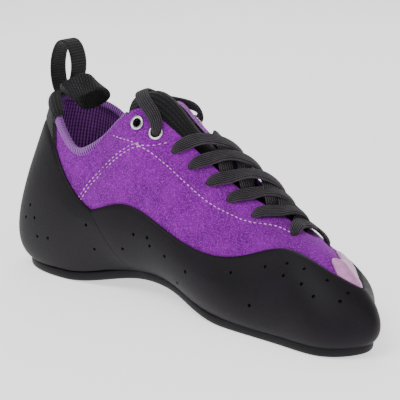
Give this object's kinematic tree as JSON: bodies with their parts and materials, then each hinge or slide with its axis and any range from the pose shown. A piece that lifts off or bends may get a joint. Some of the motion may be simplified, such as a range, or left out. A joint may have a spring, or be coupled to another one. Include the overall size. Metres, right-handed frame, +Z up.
{
  "type": "climbing shoe",
  "caption": "Left laced climbing shoe with a hollow suede upper, black rubber sole and rands, lace, eyelets and webbing pull loops at the heel.",
  "frame": {"origin": "on the floor under the middle of the heel's flat tread", "axes": "+X to the toe, +Z up, -Y to the big-toe side"},
  "size_m": [0.2361, 0.0883, 0.1194],
  "materials": {
    "suede": "napped purple suede",
    "rubber": "matt black",
    "board": "matt",
    "mesh": "ribbed",
    "smooth_patch": "smooth, slightly glossy",
    "webbing": "ribbed black webbing and lace",
    "metal": "bright"
  },
  "bodies": {
    "root": {"upper": "suede", "outsole": "rubber", "insole": "board", "tongue": "webbing", "heel_rand": "rubber", "toe_rand": "rubber", "toe_patch": "smooth_patch", "collar_roll": "mesh", "heel_tape": "webbing", "pull_loop_rear": "webbing", "pull_loop_front": "webbing", "eyelet_in_1": "metal", "eyelet_in_2": "metal", "eyelet_out_1": "metal", "eyelet_out_2": "metal", "lace": "webbing"}
  },
  "joints": []
}
